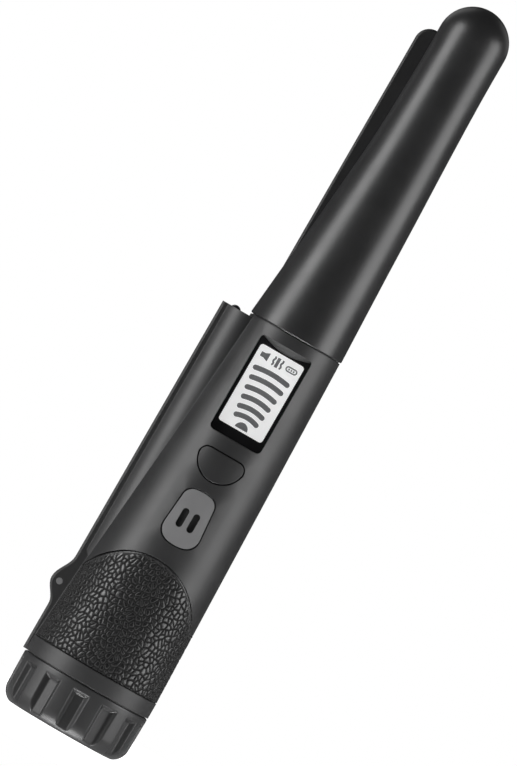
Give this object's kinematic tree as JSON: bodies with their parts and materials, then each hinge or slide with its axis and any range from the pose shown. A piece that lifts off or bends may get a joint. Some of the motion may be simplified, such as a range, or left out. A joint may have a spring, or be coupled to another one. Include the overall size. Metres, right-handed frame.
{
  "type": "pinpointer probe",
  "caption": "Handheld pinpointer probe for metal detecting: tapered round body with display, power button, rubber grip, lamp, lanyard lug, scraper blade and screw-on battery cap.",
  "frame": {"origin": "centre of the flat end face of the battery cap, on the cap's axis", "axes": "+Z along the body from the battery cap to the sensing tip; the display faces -Y; the spine with lamp, lanyard lug and scraper blade is on -X"},
  "size_m": [0.0443, 0.0404, 0.24],
  "materials": {
    "black_plastic": "satin moulded, fine spark texture",
    "button_plastic": "satin moulded",
    "grey_plastic": "flat matt moulded",
    "grip_rubber": "pebbled leather grain",
    "black_seal": "smooth",
    "gloss_black": "gloss",
    "lamp_epoxy": "dark tinted gloss",
    "clear_window": "clear, flat",
    "screen_white": "backlit white, even",
    "white_plastic": "natural moulded",
    "inner_plastic": "dull moulded",
    "foam": "closed-cell foam",
    "ferrite": "ground ferrite",
    "copper_wire": "enamelled winding",
    "bare_metal": "plated",
    "weight_metal": "sintered",
    "circuit_board": "solder mask",
    "battery_wrap": "plain printed wrap"
  },
  "bodies": {
    "housing": {"probe_shell": "black_plastic", "coil_former": "white_plastic", "ferrite_core": "ferrite", "transmit_coil": "copper_wire", "receive_coil": "copper_wire", "joint_seal": "black_seal", "handle_shell": "black_plastic", "lanyard_pin": "grey_plastic", "lamp_lens": "lamp_epoxy", "lamp_leads": "bare_metal", "grip_sleeve": "grip_rubber", "end_collar": "black_plastic", "window_bezel": "gloss_black", "window_lens": "clear_window", "screen_panel": "screen_white", "screen_light": "white_plastic", "switch_body": "black_plastic", "speaker_plate": "grey_plastic", "sound_membrane": "black_seal", "buzzer": "gloss_black", "main_board": "circuit_board", "board_screws": "bare_metal", "control_chips": "gloss_black", "chassis": "inner_plastic", "vibration_motor": "bare_metal", "motor_cradle": "inner_plastic", "battery": "battery_wrap", "battery_terminals": "bare_metal", "snap_plate": "inner_plastic", "snap_contacts": "bare_metal"},
    "button": {"power_button": "button_plastic", "switch_plunger": "white_plastic"},
    "washer": {"pressure_washer": "inner_plastic", "foam_pad": "foam"},
    "cap": {"cap_shell": "black_plastic", "cap_seal": "black_seal", "washer_screw": "bare_metal"},
    "motor_rotor": {"motor_weight": "weight_metal"}
  },
  "joints": [
    {"name": "power_button_press", "type": "slide", "parent": "housing", "child": "button", "axis": [0, 1, 0], "range_m": [0, 0.0005], "stiffness_N_per_m": 2000, "springref_m": -0.0005},
    {"name": "washer_slide", "type": "slide", "parent": "housing", "child": "washer", "axis": [0, 0, -1], "range_m": [0, 0.0075]},
    {"name": "cap_turn", "type": "hinge", "parent": "washer", "child": "cap", "pos_m": [0, 0, 0.0075], "axis": [0, 0, -1], "range_deg": [0, 540]},
    {"name": "motor_spin", "type": "hinge", "parent": "housing", "child": "motor_rotor", "pos_m": [0.00172, 0.006, 0.1], "axis": [0, 0, 1], "continuous": true}
  ],
  "couplings": [
    {"joint": "cap_turn", "follows": "washer_slide", "rad_per_m": 1256.6}
  ]
}
